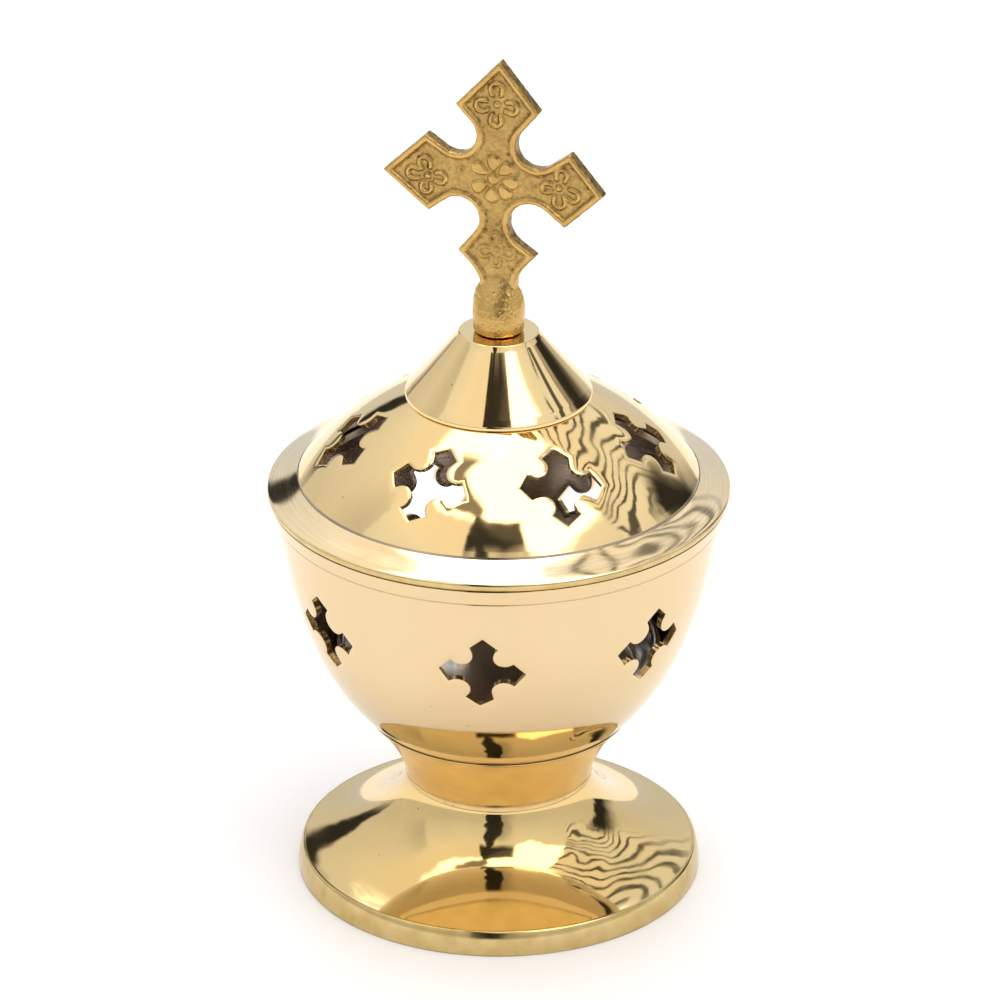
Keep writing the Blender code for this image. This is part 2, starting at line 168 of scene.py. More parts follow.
def rounded(points, steps=5):
    """A line of (x, y) points and (x, y, radius) corners, with each such corner made an arc."""
    result = []
    last = len(points) - 1
    for index, point in enumerate(points):
        if len(point) == 2 or index in (0, last):
            result.append((point[0], point[1]))
            continue
        here = Vector(point[:2])
        before = Vector(points[index - 1][:2]) - here
        after = Vector(points[index + 1][:2]) - here
        half = before.angle(after) / 2
        reach = min(point[2] / np.tan(half), 0.45 * before.length, 0.45 * after.length)
        radius = reach * np.tan(half)
        centre = here + (before.normalized() + after.normalized()).normalized() * (radius / sin(half))
        first = here + before.normalized() * reach - centre
        sweep = first.angle_signed(here + after.normalized() * reach - centre)
        for step in range(steps + 1):
            turn = Matrix.Rotation(-sweep * step / steps, 2)
            result.append(tuple(centre + turn @ first))
    return result


def offset(points, distance):
    """The line beside a profile that runs top to bottom, on the axis side of it."""
    line = np.array(points, float)
    along = unit(np.gradient(line, axis=0))
    return [tuple(point) for point in line + distance * beside(along)]


def profile_looks(profile):
    """Outward directions at the two ends of each stretch of a profile, smooth where it turns softly."""
    line = np.array(profile, float)
    along = np.diff(line, axis=0)
    length = np.linalg.norm(along, axis=1)
    flat = -unit(beside(along))
    starts, ends = flat.copy(), flat.copy()
    for index, (before, after) in enumerate(zip(flat, flat[1:])):
        if before @ after > cos(SOFT_CORNER):
            ends[index] = starts[index + 1] = unit(before * length[index] + after * length[index + 1])
    return line, starts, ends


def spin(skin, profile, slot=0):
    """Turns a profile about Z. It runs down the outside, so that its right-hand side is metal."""
    line, starts, ends = profile_looks(profile)
    angles = np.arange(TURNS + 1) % TURNS * (tau / TURNS)
    around = np.stack([np.cos(angles), np.sin(angles)], 1)

    def ring(pairs):
        flat = around[None, :, :] * pairs[:, 0, None, None]
        return np.concatenate([flat, np.broadcast_to(pairs[:, 1, None, None], flat.shape[:2] + (1,))], 2)

    def quads(above, below):
        above, below = ring(above), ring(below)
        return np.stack([above[:, :-1], below[:, :-1], below[:, 1:], above[:, 1:]], 2).reshape(-1, 4, 3)

    skin.add(quads(line[:-1], line[1:]), quads(starts, ends), slot)


def turned(name, materials, *stretches):
    """A turned piece from the stretches of its profile, each with its material slot."""
    skin = Skin()
    for profile, slot in stretches:
        spin(skin, profile, slot)
    return skin.make(name, materials)


def bored(radius, top, wall):
    """The underside of a top plate, from a radius in to the bore and up it."""
    return [(radius, top - wall), (BORE, top - wall), (BORE, top)]


# ---- sawn crosses

INSIDE = 1                       # material slot of an inner skin
CUT = EDGE = 2                   # material slot of sawn walls, or of a brushed edge
APRON = (0.0, 0.05, 0.13, 0.28, 0.55, 1.0, 1.6)    # distances of the rings round a sawn hole, outside
INNER_APRON = (0.0, 0.3, 1.0)    # and inside
CLEARANCE = 0.35                 # least distance from a hole's last ring to the wall's own grid
ROLL = 0.13                      # how far the buffed metal dips at the hole's edge
ROLL_LENGTH = 0.32


def notched(centre, radius, first, last, steps=14):
    """From one corner to the next round a concave notch, by lines that touch its circle."""
    ends = []
    for corner, side in ((first, 1), (last, -1)):
        reach = (corner[0] - centre[0], corner[1] - centre[1])
        ends.append(atan2(reach[1], reach[0]) + side * acos(min(1.0, radius / hypot(*reach))))
    while ends[1] < ends[0]:
        ends[1] += tau
    arc = [(centre[0] + radius * cos(angle), centre[1] + radius * sin(angle))
           for angle in np.linspace(ends[0], ends[1], steps + 1).tolist()]
    return [first] + arc + [last]


def sawn_outline(draw):
    """One sawn cross, about 16 mm across, anticlockwise; draw makes each a little different."""
    def near(x, y, spread):
        return x + draw.gauss(0, spread), y + draw.gauss(0, spread)

    outline = []
    for quarter in range(4):
        turn = -quarter * pi / 2
        tip = (draw.gauss(0, 0.12), 8.0 + draw.gauss(0, 0.15))
        first, last, centre = near(2.6, 5.9, 0.12), near(5.9, 2.6, 0.12), near(4.0, 4.0, 0.1)
        radius = min([2.36 + draw.gauss(0, 0.08)]
                     + [0.96 * hypot(x - centre[0], y - centre[1]) for x, y in (first, last)])
        outline += [Vector((x * cos(turn) - y * sin(turn), x * sin(turn) + y * cos(turn)))
                    for x, y in [tip] + notched(centre, radius, first, last, 12)]
    dense = []
    for here, there in zip(outline, outline[1:] + outline[:1]):
        pieces = max(1, round((there - here).length / 0.55))
        dense += [here.lerp(there, step / pieces) for step in range(pieces)]
    return np.array(dense)[::-1]


def outward(outline):
    """Directions away from a hole at its outline's points, long enough to keep parallel sides parallel."""
    before, after = unit(outline - np.roll(outline, 1, 0)), unit(np.roll(outline, -1, 0) - outline)
    first, second = beside(before), beside(after)
    middle = unit(first + second)
    return middle / np.maximum((middle * first).sum(1, keepdims=True), 0.5)


class Wall:
    """One side of a turned wall between two heights: where it is, and which way it looks."""

    def __init__(self, profile, side):
        line = np.array(profile, float)[::-1]
        self.radii, self.heights = line.T
        self.lengths = np.concatenate([[0.0], np.cumsum(np.linalg.norm(np.diff(line, axis=0), axis=1))])
        along = np.gradient(line, self.lengths, axis=0)
        self.looks = side * beside(along)

    def at_height(self, heights, table):
        return np.interp(heights, self.heights, table)

    def place(self, angle, length):
        """Points and outward directions at angles and lengths up the wall."""
        radius, height, out, up = (np.interp(length, self.lengths, table)
                                   for table in (self.radii, self.heights, *self.looks.T))
        return circled(radius, radius, height, angle), unit(circled(out, out, up, angle))

    def hit(self, points, direction):
        """Where lines through the points along a direction meet the wall."""
        low, high = np.full(len(points), -9.0), np.full(len(points), 9.0)
        for _ in range(40):
            middle = (low + high) / 2
            where = points + middle[:, None] * direction
            beyond = np.hypot(where[:, 0], where[:, 1]) > self.at_height(where[:, 2], self.radii)
            high = np.where(beyond, middle, high)
            low = np.where(beyond, low, middle)
        return points + low[:, None] * direction


class Cross:
    """A sawn hole: its outline laid on the wall's tangent plane at its middle."""

    def __init__(self, outline, angle, radius, height, tilt, twist):
        self.outline, self.angle, self.away = outline, angle, outward(outline)
        turn = Matrix.Rotation(angle, 3, "Z")
        place = np.array(turn @ Matrix.Rotation(-tilt, 3, "X") @ Matrix.Rotation(twist, 3, "Y"))
        self.across, self.forward, self.up = place[:, 0], -place[:, 1], place[:, 2]
        self.middle = np.array(turn @ Vector((0.0, -radius, height)))

    def laid(self, flat):
        return flat[:, :1] * self.across + flat[:, 1:] * self.up

    def ring(self, distance):
        return self.middle + self.laid(self.outline + self.away * distance)

    def sideways(self):
        return unit(self.laid(self.away))


def inside_polygon(points, polygon):
    x, y = points[:, 0], points[:, 1]
    odd = np.zeros(len(points), bool)
    for (x1, y1), (x2, y2) in zip(polygon, np.roll(polygon, -1, 0)):
        crosses = (y1 > y) != (y2 > y)
        at = x1 + (y - y1) * (x2 - x1) / np.where(y2 == y1, 1e-12, y2 - y1)
        odd ^= crosses & (x < at)
    return odd


def pierced_side(skin, wall, crosses, side, slot, aprons, rows=26):
    """Covers one side of the wall, leaving out the crosses. Returns each hole's edge points."""
    scale = [float(np.mean(wall.radii)), 1.0]
    top = wall.lengths[-1]
    facet = tau / TURNS
    start = round((crosses[0].angle - pi / 2 - pi / CROSS_COUNT) / facet) * facet
    angles = start + np.arange(TURNS + 1) * facet
    grid = np.stack([part.ravel() for part in np.meshgrid(angles, np.linspace(0.0, top, rows))], 1)
    keep = np.ones(len(grid), bool)
    holes = []
    for cross in crosses:
        rings = []
        for distance in aprons:
            hit = wall.hit(cross.ring(distance), cross.forward)
            angle = start + np.mod(np.arctan2(hit[:, 1], hit[:, 0]) - start, tau)
            length = wall.at_height(hit[:, 2], wall.lengths)
            surface, look = wall.place(angle, length)
            dip = ROLL * exp(-distance / ROLL_LENGTH)
            rings.append((np.stack([angle, length], 1), surface - look * dip,
                          look - dip / ROLL_LENGTH * cross.sideways()))
        holes.append(rings)
        outer = rings[-1][0]
        near = np.abs(grid[:, 0] - outer[:, 0].mean()) < 0.6
        near &= (grid[:, 1] > outer[:, 1].min() - 1) & (grid[:, 1] < outer[:, 1].max() + 1)
        spots = grid[near] * scale
        gap = np.linalg.norm(spots[:, None, :] - (outer * scale)[None, :, :], axis=2).min(1)
        keep[np.flatnonzero(near)[inside_polygon(spots, outer * scale) | (gap < CLEARANCE)]] = False
    keep |= (grid[:, 1] == 0.0) | (grid[:, 1] == top)

    count = int(keep.sum())
    parts = [(grid[keep], *wall.place(*grid[keep].T), np.full(count, -1))]
    edges = []
    for number, rings in enumerate(holes):
        for level, ring in enumerate(rings):
            size = len(ring[0])
            parts.append((*ring, np.full(size, -1 if level else number)))
            edges += [(count + i, count + (i + 1) % size) for i in range(size)]
            count += size
    flat, surface, facing, owner = (np.concatenate(part) for part in zip(*parts))
    flat = flat * scale
    _, _, faces, sources, _, _ = delaunay_2d_cdt([Vector(p) for p in flat.tolist()], edges, [], 0, 1e-7, True)
    triangles = np.array([source[0] if source else -1 for source in sources])[np.array(faces)]
    triangles = triangles[(triangles >= 0).all(1)]
    drop = np.zeros(len(triangles), bool)
    for number, rings in enumerate(holes):
        mine = (owner[triangles] == number).all(1)
        drop[mine] = inside_polygon(flat[triangles[mine]].mean(1), rings[0][0] * scale)
    triangles = triangles[~drop][:, ::side]
    skin.add(surface[triangles], facing[triangles], slot)
    return [rings[0][1] for rings in holes]


def join_edges(skin, crosses, outer_edges, inner_edges):
    """The sawn walls between the holes' edges on the two sides."""
    for cross, outer, inner in zip(crosses, outer_edges, inner_edges):
        look = -cross.sideways()
        ahead = np.roll(look, -1, 0)
        sharp = ((look * ahead).sum(1) < cos(SOFT_CORNER))[:, None]
        first, second = (np.where(sharp, look + ahead, end) for end in (look, ahead))
        quads = np.stack([outer, np.roll(outer, -1, 0), np.roll(inner, -1, 0), inner], 1)
        skin.add(quads, np.stack([first, second, second, first], 1), CUT)


def radius_at(line, height):
    """The radius of a falling profile at a height."""
    radii, heights = np.array(line, float)[::-1].T
    return float(np.interp(height, heights, radii))


def stretch_between(line, first, last):
    """The part of a falling profile between two heights."""
    start, end = ((radius_at(line, height), height) for height in (first, last))
    return [start] + [p for p in line if last < p[1] < first] + [end]


def pierced_shell(name, outer, inner, base, crown, crosses, materials, low, high, sink):
    """A turned shell with sawn crosses between two heights, which lie lower by sink on its inner side.

    outer and inner fall; base runs from outer's end to inner's end, crown from inner's start to outer's start.
    """
    skin = Skin()
    for profile, slot in ((stretch_between(outer, outer[0][1], high), 0),
                          (stretch_between(outer, low, outer[-1][1]), 0),
                          (base, INSIDE),
                          (stretch_between(inner, low - sink, inner[-1][1])[::-1], INSIDE),
                          (stretch_between(inner, inner[0][1], high - sink)[::-1], INSIDE),
                          (crown, 0)):
        spin(skin, profile, slot)
    outer_wall = Wall(stretch_between(outer, high, low), 1)
    inner_wall = Wall(stretch_between(inner, high - sink, low - sink), -1)
    join_edges(skin, crosses, pierced_side(skin, outer_wall, crosses, 1, 0, APRON),
               pierced_side(skin, inner_wall, crosses, -1, INSIDE, INNER_APRON))
    return skin.make(name, materials)


# ---- turned pieces

def foot_piece(outside, inside, brushed):
    flare = bezier((NECK_RADIUS, FOOT_TOP - 0.2), (18.9, 12.6), (27.1, 6.7), (36.25, 4.72), 48)
    inner = offset(flare, FOOT_WALL)
    rim = bezier((36.85, 4.45), (37.3, 3.5), (FOOT_RADIUS, 1.7), (FOOT_RADIUS, 0.25), 12)
    brink = rounded([flare[-1], (36.6, 4.66, 0.2), rim[0]])
    under = rounded([rim[-1], (FOOT_RADIUS, 0.0, 0.2), (36.3, 0.0, 0.3), (35.6, 2.6, 1.5), inner[-1]])
    crown = rounded([(BORE, FOOT_TOP), (NECK_RADIUS, FOOT_TOP, 0.08), flare[0]])
    ceiling = bored(NECK_RADIUS - 2.2, FOOT_TOP, FOOT_WALL)
    return turned("turned_foot", [outside, inside, brushed], (crown + flare[1:], 0), (brink + rim[1:], EDGE),
                  (under + inner[-2:0:-1] + ceiling, INSIDE))


def collar_piece(outside, inside):
    low = FOOT_TOP + 0.02
    side = bezier((COLLAR_RADIUS, COLLAR_TOP - 0.25), (19.6, 27.2), (17.2, 21.6), (NECK_RADIUS, FOOT_TOP + 0.25), 36)
    inner = offset(side, COLLAR_WALL)
    top = rounded([(BORE, COLLAR_TOP), (COLLAR_RADIUS + 0.05, COLLAR_TOP, 0.15), side[0]])
    base = rounded([side[-1], (NECK_RADIUS, low, 0.08), (NECK_RADIUS - COLLAR_WALL, low), inner[-1]])
    return turned("turned_stem_collar", [outside, inside], (top + side[1:] + base[1:-1], 0),
                  ([base[-2]] + inner[-1:1:-1] + bored(20.6, COLLAR_TOP, COLLAR_WALL), INSIDE))


def seven_crosses(draw, angle, radius, height, tilt, twist):
    return [Cross(sawn_outline(draw), angle + index * tau / CROSS_COUNT, radius, height, tilt,
                  twist + draw.gauss(0, 0.02)) for index in range(CROSS_COUNT)]


def bowl_piece(outside, inside, sawn, draw):
    floor = COLLAR_TOP + FIT
    upper = bezier((BOWL_RADIUS, BOWL_RIM), (40.5, 72.0), (39.55, 64.9), (38.4, 60.0), 40)
    plain = upper + bezier((38.4, 60.0), (35.5, 47.9), (31.3, 39.6), (24.5, floor + 0.2), 48)[1:]
    inner = [p for p in offset(plain, BOWL_WALL) if floor + BOWL_WALL + 0.8 < p[1] < BOWL_RIM - 0.4]
    groove = BOWL_RIM - 3.0
    cut = [(radius_at(plain, groove + rise) - depth, groove + rise)
           for rise, depth in ((0.25, 0.0), (0.14, 0.02), (0.04, 0.11), (-0.04, 0.11), (-0.14, 0.02), (-0.25, 0.0))]
    outer = ([p for p in plain if groove + 0.35 < p[1] < BOWL_RIM - 0.35] + cut
             + [p for p in plain if p[1] < groove - 0.35])
    crown = rounded([inner[0], (inner[0][0] + 0.05, BOWL_RIM, 0.2), (BOWL_RADIUS - 0.05, BOWL_RIM, 0.3), outer[0]])
    base = rounded([outer[-1], (24.35, floor, 0.15), (BORE, floor), (BORE, floor + BOWL_WALL),
                    (inner[-1][0] - 0.8, floor + BOWL_WALL, 1.0), inner[-1]])
    height = 58.1
    slope = Wall(plain, 1)
    _, look = slope.place(np.zeros(1), np.array([slope.at_height(height, slope.lengths)]))
    crosses = seven_crosses(draw, radians(-4.8), radius_at(plain, height), height, atan2(look[0][2], look[0][0]), 0.0)
    return pierced_shell("spun_bowl", outer, inner, base, crown, crosses, [outside, inside, sawn],
                         low=47.0, high=69.0, sink=0.0)


def dome_height(radius):
    centre = 80.6 - sqrt(DOME_SPHERE ** 2 - (DOME_RADIUS + DOME_OFFSET) ** 2)
    return centre + sqrt(DOME_SPHERE ** 2 - (radius + DOME_OFFSET) ** 2)


def dome_piece(outside, inside, sawn, draw):
    outer = [(r, dome_height(r)) for r in np.linspace(BORE, DOME_RADIUS - 0.25, 64).tolist()]
    inner = [p for p in offset(outer, DOME_WALL) if p[0] > BORE and p[1] < outer[0][1] - DOME_WALL]
    base = rounded([outer[-1], (DOME_RADIUS, dome_height(DOME_RADIUS) - 0.1, 0.3), (DOME_RADIUS, DOME_LOW),
                    (DOME_RADIUS - DOME_WALL, DOME_LOW), inner[-1]])
    crown = [inner[0], (BORE, inner[0][1] + 0.02), outer[0]]
    radius = 27.6
    crosses = seven_crosses(draw, radians(-27.2), radius, dome_height(radius),
                            acos((radius + DOME_OFFSET) / DOME_SPHERE), radians(9))
    return pierced_shell("spun_lid_dome", outer, inner, base, crown, crosses, [outside, inside, sawn],
                         low=81.7, high=96.9, sink=1.0)


def brim_piece(pale, inside, brushed):
    inner = DOME_RADIUS + 0.04
    slope = bezier((inner + 0.1, 80.55), (38.6, 79.7), (41.0, 78.95), (42.1, 78.42), 24)
    seat = BOWL_RIM + FIT
    edge = bezier((42.1, 78.42), (42.6, 78.2), (42.62, 77.45), (42.0, seat), 16)
    spigot, mouth = 39.6, DOME_RADIUS - 2.0
    under = rounded([edge[-1], (spigot, seat), (spigot, BRIM_LOW, 0.4), (spigot - 1.2, BRIM_LOW, 0.3),
                     (spigot - 1.2, seat, 0.4), (mouth, seat, 0.2), (mouth, 78.3), (inner, 78.3)])
    lip = rounded([(inner, 78.3), (inner, 80.58, 0.07), slope[0]])
    return turned("turned_lid_brim", [pale, inside, brushed], (lip + slope[1:] + edge[1:5], 0), (edge[4:], EDGE),
                  (under, INSIDE))


def cap_piece(outside, inside):
    crown = rounded([(BORE, CAP_TOP), (7.25, CAP_TOP, 0.35), (7.75, CAP_TOP - 0.75)])
    side = bezier((7.75, CAP_TOP - 0.75), (10.6, 104.6), (14.0, 100.6), (16.2, 98.15), 36)
    brink, hem = ((radius, dome_height(radius) + FIT) for radius in (CAP_RADIUS, CAP_RADIUS - CAP_WALL))
    lip = rounded([side[-1], (17.05, 97.15, 0.6), (*brink, 0.2), hem])
    return turned("turned_lid_cap", [outside, inside], (crown + side[1:] + lip[1:], 0),
                  ([lip[-1]] + offset(side, CAP_WALL)[::-1] + bored(6.0, CAP_TOP, CAP_WALL), INSIDE))


def pan_piece(metal):
    floor, rim, top = 26.5, PAN_RADIUS, PAN_RIM
    profile = rounded([(0.0, PAN_LOW + PAN_WALL), (floor - 1.0, PAN_LOW + PAN_WALL, 1.6), (rim - 1.6, top - 0.9, 1.0),
                       (rim - 1.25, top - 0.1, 0.4), (rim - 0.45, top, 0.35), (rim, top - 0.55, 0.35),
                       (rim - 0.4, top - 1.2, 0.4), (rim - 0.9, top - 1.3, 0.3), (floor + 0.3, PAN_LOW + 0.4, 0.8),
                       (floor - 0.6, PAN_LOW, 0.5), (0.0, PAN_LOW)])
    return turned("spun_charcoal_pan", [metal], (profile, 0))


# ---- fasteners

def loft(name, rows, material, angle=radians(35), closed=True):
    """A body from rows of points, each row the same length; its last row joins its first, or both are capped."""
    rows = np.asarray(rows, float)
    count, around = rows.shape[:2]
    faces = []
    for row in range(count if closed else count - 1):
        for spot in range(around):
            here, below = row * around, (row + 1) % count * around
            beside = (spot + 1) % around
            faces.append((here + spot, below + spot, below + beside, here + beside))
    if not closed:
        faces += [tuple(range(around)), tuple(range(count * around - 1, (count - 1) * around - 1, -1))]
    mesh = bpy.data.meshes.new(name)
    mesh.from_pydata((rows.reshape(-1, 3) * MM).tolist(), [], faces)
    mesh.shade_smooth()
    mesh.set_sharp_from_angle(angle=angle)
    return new_object(name, mesh, material)


SMALL_ANGLES = np.arange(SMALL_TURNS) * (tau / SMALL_TURNS)


def ring_rows(profile, shape=None):
    """Rings for loft from a closed profile; shape(angle, radius, height) may change a ring's radius."""
    rows = []
    for radius, height in profile:
        radii = shape(SMALL_ANGLES, radius, height) if shape else radius
        rows.append(circled(radii, radii, height, SMALL_ANGLES))
    return rows


def washer_section(node, start, outer, inner, steps):
    """A washer's section, with the roundings of its corners: outer top and bottom, inner bottom and top."""
    radius, low, high = extent(node)
    return rounded([(radius - start, high), (radius, high, outer[0]), (radius, low, outer[1]),
                    (WASHER_BORE, low, inner[0]), (WASHER_BORE, high, inner[1]), (radius - start, high)], steps)[:-1]


def washer_piece(name, node, material):
    return loft(name, ring_rows(washer_section(node, 1.0, (0.22, 0.12), (0.1, 0.2), 4)), material)


def spring_washer_piece(name, node, material):
    section = washer_section(node, 0.8, (0.2, 0.2), (0.15, 0.15), 3)
    gap, lift, steps = radians(12), 0.09, 80
    rows = []
    for share in np.linspace(1.0, 0.0, steps + 1).tolist():
        angle = gap / 2 + (tau - gap) * share
        rows.append([(r * cos(angle), r * sin(angle), z + lift * (2 * share - 1)) for r, z in section])
    return loft(name, rows, material, radians(40), closed=False)


PITCH = 0.8                      # the M5 thread's
THREAD_DEPTH = 0.38
THREAD_STEP = 0.08               # between a thread's rings


def thread_shape(angles, radius, height):
    """The thread's radii at a height, for ring_rows."""
    phase = np.mod(height / PITCH - angles / tau, 1.0)
    return radius - THREAD_DEPTH * np.abs(2 * phase - 1) ** 0.8


def nut_piece(name, node, material):
    flats, low, high = extent(node)
    corner = 2 * flats / sqrt(3)

    def shape(angles, radius, height):
        if radius < flats * 0.8:
            return radius
        return np.minimum(flats / np.cos(np.mod(angles + pi / 6, pi / 3) - pi / 6), radius)

    bevel = [(flats - 0.2 + rise * 1.9, high - rise) for rise in np.linspace(0, (corner - flats + 0.2) / 1.9, 7)]
    under = [(r, low + high - z) for r, z in reversed(bevel)]
    bore = 2.55
    profile = [(bore + 0.45, high)] + bevel + under + [(bore + 0.45, low), (bore, low + 0.45), (bore, high - 0.45)]
    return loft(name, ring_rows(profile, shape), material, radians(28))


def threaded_rows(top, end):
    """Rings of an M5 thread from its top to its rounded end."""
    steps = int((top - end - 0.7) / THREAD_STEP)
    rows = ring_rows([(THREAD_RADIUS, top - THREAD_STEP * step) for step in range(steps)], thread_shape)
    return rows + ring_rows([(THREAD_RADIUS - 0.45, end + 0.5), (THREAD_RADIUS - 0.75, end + 0.12),
                             (THREAD_RADIUS - 1.1, end), (0.02, end)])


def screw_piece(name, node, material):
    """A slotted round-head screw with its thread."""
    radius, low, high = extent(node)
    under_head = high - 3.0
    head = rounded([(0.02, high), (3.3, high - 0.1, 2.0), (radius, high - 1.3, 1.4), (radius, under_head, 0.15),
                    (THREAD_RADIUS + 0.1, under_head)], 6)
    screw = loft(name, ring_rows(head) + threaded_rows(under_head - 0.1, low), material)
    block = bmesh.new()
    bmesh.ops.create_cube(block, size=1.0)
    length, width, depth = 14 * MM, 1.2 * MM, 1.3 * MM
    block.transform(Matrix.Translation((0, 0, high * MM)) @ Matrix.Diagonal((length, width, 2 * depth, 1)))
    slot = bpy.data.meshes.new("slot")
    block.to_mesh(slot)
    block.free()
    tool = new_object("slot", slot)
    cut = screw.modifiers.new("slot", "BOOLEAN")
    cut.object = tool
    cut.operation = "DIFFERENCE"
    bake_modifiers(screw)
    bpy.data.objects.remove(tool)
    screw.data.shade_smooth()
    screw.data.set_sharp_from_angle(angle=radians(35))
    return screw


def bake_modifiers(thing):
    """Replaces an object's mesh with what its modifiers make of it."""
    bpy.context.view_layer.update()
    seen = thing.evaluated_get(bpy.context.evaluated_depsgraph_get())
    thing.data = bpy.data.meshes.new_from_object(seen)
    thing.modifiers.clear()


# ---- the cast cross

CROSS_CENTRE = 138.0             # height of the middle that the outline's points are measured from
CROSS_TURN = radians(-19)
CROSS_THICKNESS = 2.4
VOXEL = 0.17                     # spacing of the casting's mesh
NECK = -19.5                     # height where the blade becomes the knob, from that middle
TOP_TIP = (0.45, 23.4)
RIGHT_CORNERS = ((7.9, 14.4), (13.7, 7.4), (20.0, 0.0), (12.7, -7.0), (7.3, -13.4), (3.5, -18.9))
RIGHT_NOTCHES = ((7.4, 7.6, 3.9), (6.4, -7.6, 4.3))
LEFT_CORNERS = ((7.9, 14.3), (13.5, 7.8), (21.8, -0.2), (13.1, -7.0), (7.5, -13.9), (3.3, -19.6))
LEFT_NOTCHES = ((7.8, 8.7, 3.8), (7.4, -7.5, 3.9))


def cross_side(corners, notches):
    top, arm_top, tip, arm_low, low, neck = corners
    (ux, uy, upper_radius), (lx, ly, lower_radius) = notches
    drop = low[1] - neck[1]
    throat = bezier(low, (low[0] - 0.35 * drop, low[1] - 0.35 * drop),
                    (neck[0] + 0.1 * drop, neck[1] + 0.4 * drop), neck, 12)
    return (notched((ux, uy), upper_radius, top, arm_top) + [tip]
            + notched((lx, ly), lower_radius, arm_low, low) + throat[1:] + [(neck[0], neck[1] - 3.0)])


def cross_outline():
    right = cross_side(RIGHT_CORNERS, RIGHT_NOTCHES)
    left = [(-x, y) for x, y in reversed(cross_side(LEFT_CORNERS, LEFT_NOTCHES))]
    return np.array(([TOP_TIP] + right + left)[::-1])


def smoothstep(low, high, value):
    share = np.clip((value - low) / (high - low), 0.0, 1.0)
    return share * share * (3 - 2 * share)


def distance_inside(points, outline):
    """Distance from points to a closed outline."""
    best = np.full(len(points), 1e9)
    for here, there in zip(outline, np.roll(outline, -1, 0)):
        along = there - here
        share = np.clip(((points - here) @ along) / (along @ along), 0, 1)
        gap = points - here - share[:, None] * along
        best = np.minimum(best, np.hypot(gap[:, 0], gap[:, 1]))
    return best


class Grain:
    """Smooth repeating noise in three directions, from seeded random numbers."""

    def __init__(self, seed, cells=32):
        self.cells = cells
        self.values = np.random.default_rng(seed).uniform(-1, 1, (cells,) * 3)

    def __call__(self, points, size):
        scaled = points / size
        base = np.floor(scaled).astype(int)
        share = scaled - base
        share = share * share * (3 - 2 * share)
        total = np.zeros(len(points))
        for step in np.ndindex(2, 2, 2):
            corner = np.mod(base + step, self.cells)
            total += np.where(step, share, 1 - share).prod(1) * self.values[tuple(corner.T)]
        return total


def petal(points, root, angle):
    """0 to 1 over a drop-shaped petal of the rosette, which points away from its root."""
    reach, length, width, taper = 3.05, 1.75, 1.25, 0.5
    aim = np.array([cos(angle), sin(angle)])
    away = points - np.array(root) - reach * aim
    along, across = away @ aim / length, away @ np.array([-aim[1], aim[0]])
    return 1 - smoothstep(0.62, 1.08, np.hypot(along, across / np.maximum(width * (1 + taper * along), 0.3)))


def loop_petal(points, root, angle, reach, radius):
    """0 to 1 over a raised horseshoe whose legs run back towards the flower's middle."""
    aim = np.array([cos(angle), sin(angle)])
    away = points - np.array(root) - reach * aim
    along, across = away @ aim, np.abs(away @ np.array([-aim[1], aim[0]]))
    gap = np.where(along > 0, np.hypot(along, across), across - 0.22 * along) - radius
    legs_end = 1 - smoothstep(radius * 0.9, radius * 1.5, -along)
    return np.exp(-(gap / 0.4) ** 2) * np.where(along > 0, 1.0, legs_end)


def cross_relief(points, outline, grain):
    """Height of the cast front over its highest level, and how deep in a hollow each point lies."""
    edge = distance_inside(points, outline)
    reach = np.hypot(points[:, 0], points[:, 1])
    depth = 0.36 + 0.2 * smoothstep(7.0, 11.0, reach) - 0.22 * smoothstep(-9.0, -13.0, points[:, 1])
    field = smoothstep(0.85, 1.45, edge)
    height = -depth * field - 0.12 * (1 - smoothstep(0.0, 0.45, edge))
    raised = np.zeros(len(points))
    rosette = (-0.68, 0.77)
    for angle in (90, 43, -6, -48, -97, -148, 148):
        raised = np.maximum(raised, petal(points, rosette, radians(angle)))
    raised = np.maximum(raised, 1.1 * (1 - smoothstep(0.75, 1.25, np.hypot(*(points - rosette).T))))
    flowers = (((-0.1, 15.1), 1.0, ((92, 2.9, 1.15), (190, 2.9, 1.1), (-8, 2.8, 1.1), (266, 3.1, 1.05))),
               ((-13.2, -0.3), 1.0, ((104, 2.5, 1.1), (176, 2.8, 1.1), (262, 2.3, 1.0), (-4, 2.4, 1.0))),
               ((11.6, 0.55), 0.85, ((78, 2.6, 1.05), (184, 2.2, 0.9), (-24, 2.9, 1.1), (272, 2.6, 1.1))),
               ((-0.1, -12.9), 0.4, ((95, 2.4, 1.0), (196, 2.5, 1.0), (-12, 2.4, 1.0), (265, 2.4, 0.9))))
    for middle, strength, loops in flowers:
        for angle, away, radius in loops:
            raised = np.maximum(raised, strength * loop_petal(points, middle, radians(angle), away, radius))
        raised = np.maximum(raised, 0.8 * strength * (1 - smoothstep(0.3, 0.85, np.hypot(*(points - middle).T))))
    height += np.minimum(raised, 1.1) * (depth + 0.03) * field
    outline_of = smoothstep(0.02, 0.15, raised) * (1 - smoothstep(0.3, 0.6, raised))
    outline_of = np.maximum(outline_of, 1 - smoothstep(1.45, 2.0, edge))
    hollow = field * (0.55 * smoothstep(0.1, 0.4, -height) + 0.45 * outline_of * smoothstep(0.05, 0.3, -height))
    solid = np.stack([points[:, 0], points[:, 1], np.zeros(len(points))], 1)
    height += 0.035 * grain(solid + 5.0, 0.9) + hollow * (0.05 * grain(solid, 0.33) + 0.03 * grain(solid, 0.19))
    return height, hollow


